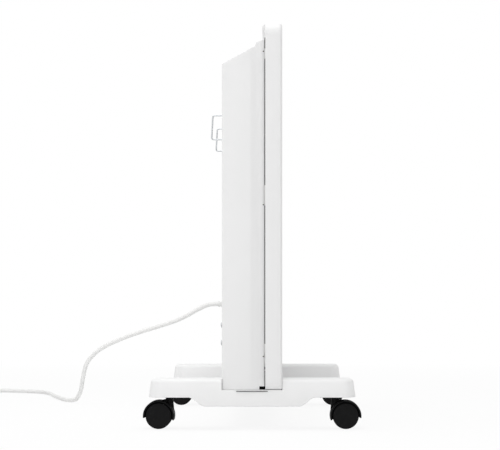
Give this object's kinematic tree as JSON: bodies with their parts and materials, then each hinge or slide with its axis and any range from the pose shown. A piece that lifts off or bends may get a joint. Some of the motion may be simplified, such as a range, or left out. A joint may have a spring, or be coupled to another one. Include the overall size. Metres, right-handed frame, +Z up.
{
  "type": "convector heater",
  "caption": "Slim white convector heater: pressed front panel on a folded rear housing, side controls, outlet grille, wire cord hooks, moulded feet on black swivel castors, coiled mains cord.",
  "frame": {"origin": "on the floor, under the middle of the heater's box without the cord", "axes": "+X along the width towards the side with the controls and the cord, +Y from the front panel towards the rear wall, +Z up"},
  "size_m": [0.9146, 0.7038, 0.499],
  "materials": {
    "white_painted_steel": "satin powder coat",
    "white_moulded_plastic": "fine moulded texture",
    "grey_coated_grille": "satin",
    "black_moulded_plastic": "smooth moulded",
    "black_wheel_tread": "moulded nylon",
    "galvanised_steel": "zinc coated",
    "bright_steel": "zinc plated",
    "extruded_aluminium": "as extruded",
    "cream_moulded_plastic": "moulded",
    "white_cord_sheath": "matt extruded sheath",
    "brown_wire_sheath": "extruded sheath",
    "black_tie": "woven strap"
  },
  "bodies": {
    "heater": {"front_panel": "white_painted_steel", "panel_top_rail": "white_painted_steel", "outlet_grille": "grey_coated_grille", "rear_housing": "white_painted_steel", "panel_catch_left": "white_moulded_plastic", "panel_catch_right": "white_moulded_plastic", "bottom_plate": "galvanised_steel", "heating_element": "extruded_aluminium", "element_bracket_left": "galvanised_steel", "control_chassis": "galvanised_steel", "heat_shield": "galvanised_steel", "thermal_cutout": "cream_moulded_plastic", "terminal_block": "cream_moulded_plastic", "tilt_switch": "black_moulded_plastic", "wire_supply": "brown_wire_sheath", "wire_element": "brown_wire_sheath", "control_plate": "white_moulded_plastic", "thermostat_body": "cream_moulded_plastic", "switch_body_1": "black_moulded_plastic", "switch_body_2": "black_moulded_plastic", "cord_loop_left": "bright_steel", "cord_loop_right": "bright_steel", "loop_bracket_left": "galvanised_steel", "loop_bracket_right": "galvanised_steel", "cord_gland": "white_moulded_plastic", "gland_nut": "white_moulded_plastic", "rear_screw_left_1": "bright_steel", "rear_screw_left_2": "bright_steel", "rear_screw_right_1": "bright_steel", "rear_screw_right_2": "bright_steel", "foot_left": "white_moulded_plastic", "foot_right": "white_moulded_plastic", "foot_screw_1": "bright_steel", "foot_screw_2": "bright_steel", "foot_screw_3": "bright_steel", "foot_screw_4": "bright_steel", "mains_cord": "white_cord_sheath", "cord_coil": "white_cord_sheath", "cord_tie": "black_tie", "plug": "white_moulded_plastic"},
    "knob": {"thermostat_knob": "white_moulded_plastic"},
    "upper_rocker": {"rocker_1": "black_moulded_plastic"},
    "lower_rocker": {"rocker_2": "black_moulded_plastic"},
    "front_left_castor": {"castor_front_left_hood": "black_moulded_plastic", "castor_front_left_axle": "bright_steel"},
    "front_left_inner_wheel": {"castor_front_left_wheel_inner": "black_wheel_tread"},
    "front_left_outer_wheel": {"castor_front_left_wheel_outer": "black_wheel_tread"},
    "front_right_castor": {"castor_front_right_hood": "black_moulded_plastic", "castor_front_right_axle": "bright_steel"},
    "front_right_inner_wheel": {"castor_front_right_wheel_inner": "black_wheel_tread"},
    "front_right_outer_wheel": {"castor_front_right_wheel_outer": "black_wheel_tread"},
    "rear_left_castor": {"castor_rear_left_hood": "black_moulded_plastic", "castor_rear_left_axle": "bright_steel"},
    "rear_left_inner_wheel": {"castor_rear_left_wheel_inner": "black_wheel_tread"},
    "rear_left_outer_wheel": {"castor_rear_left_wheel_outer": "black_wheel_tread"},
    "rear_right_castor": {"castor_rear_right_hood": "black_moulded_plastic", "castor_rear_right_axle": "bright_steel"},
    "rear_right_inner_wheel": {"castor_rear_right_wheel_inner": "black_wheel_tread"},
    "rear_right_outer_wheel": {"castor_rear_right_wheel_outer": "black_wheel_tread"}
  },
  "joints": [
    {"name": "knob_turn", "type": "hinge", "parent": "heater", "child": "knob", "pos_m": [0.286, 0.0182, 0.333], "axis": [-1, 0, 0], "range_deg": [0, 290]},
    {"name": "upper_rocker_tilt", "type": "hinge", "parent": "heater", "child": "upper_rocker", "pos_m": [0.2873, 0.0182, 0.295], "axis": [0, -1, 0], "range_deg": [0, 14]},
    {"name": "lower_rocker_tilt", "type": "hinge", "parent": "heater", "child": "lower_rocker", "pos_m": [0.2873, 0.0182, 0.268], "axis": [0, -1, 0], "range_deg": [0, 14]},
    {"name": "front_left_swivel", "type": "hinge", "parent": "heater", "child": "front_left_castor", "pos_m": [-0.2605, -0.1024, 0], "axis": [0, 0, 1], "continuous": true},
    {"name": "front_left_inner_roll", "type": "hinge", "parent": "front_left_castor", "child": "front_left_inner_wheel", "pos_m": [-0.2554, -0.1152, 0.016], "axis": [1, 0, 0], "continuous": true},
    {"name": "front_left_outer_roll", "type": "hinge", "parent": "front_left_castor", "child": "front_left_outer_wheel", "pos_m": [-0.2656, -0.1152, 0.016], "axis": [1, 0, 0], "continuous": true},
    {"name": "front_right_swivel", "type": "hinge", "parent": "heater", "child": "front_right_castor", "pos_m": [0.2605, -0.1024, 0], "axis": [0, 0, 1], "continuous": true},
    {"name": "front_right_inner_roll", "type": "hinge", "parent": "front_right_castor", "child": "front_right_inner_wheel", "pos_m": [0.2554, -0.1152, 0.016], "axis": [1, 0, 0], "continuous": true},
    {"name": "front_right_outer_roll", "type": "hinge", "parent": "front_right_castor", "child": "front_right_outer_wheel", "pos_m": [0.2656, -0.1152, 0.016], "axis": [1, 0, 0], "continuous": true},
    {"name": "rear_left_swivel", "type": "hinge", "parent": "heater", "child": "rear_left_castor", "pos_m": [-0.2605, 0.1024, 0], "axis": [0, 0, 1], "continuous": true},
    {"name": "rear_left_inner_roll", "type": "hinge", "parent": "rear_left_castor", "child": "rear_left_inner_wheel", "pos_m": [-0.2554, 0.1152, 0.016], "axis": [1, 0, 0], "continuous": true},
    {"name": "rear_left_outer_roll", "type": "hinge", "parent": "rear_left_castor", "child": "rear_left_outer_wheel", "pos_m": [-0.2656, 0.1152, 0.016], "axis": [1, 0, 0], "continuous": true},
    {"name": "rear_right_swivel", "type": "hinge", "parent": "heater", "child": "rear_right_castor", "pos_m": [0.2605, 0.1024, 0], "axis": [0, 0, 1], "continuous": true},
    {"name": "rear_right_inner_roll", "type": "hinge", "parent": "rear_right_castor", "child": "rear_right_inner_wheel", "pos_m": [0.2554, 0.1152, 0.016], "axis": [1, 0, 0], "continuous": true},
    {"name": "rear_right_outer_roll", "type": "hinge", "parent": "rear_right_castor", "child": "rear_right_outer_wheel", "pos_m": [0.2656, 0.1152, 0.016], "axis": [1, 0, 0], "continuous": true}
  ]
}
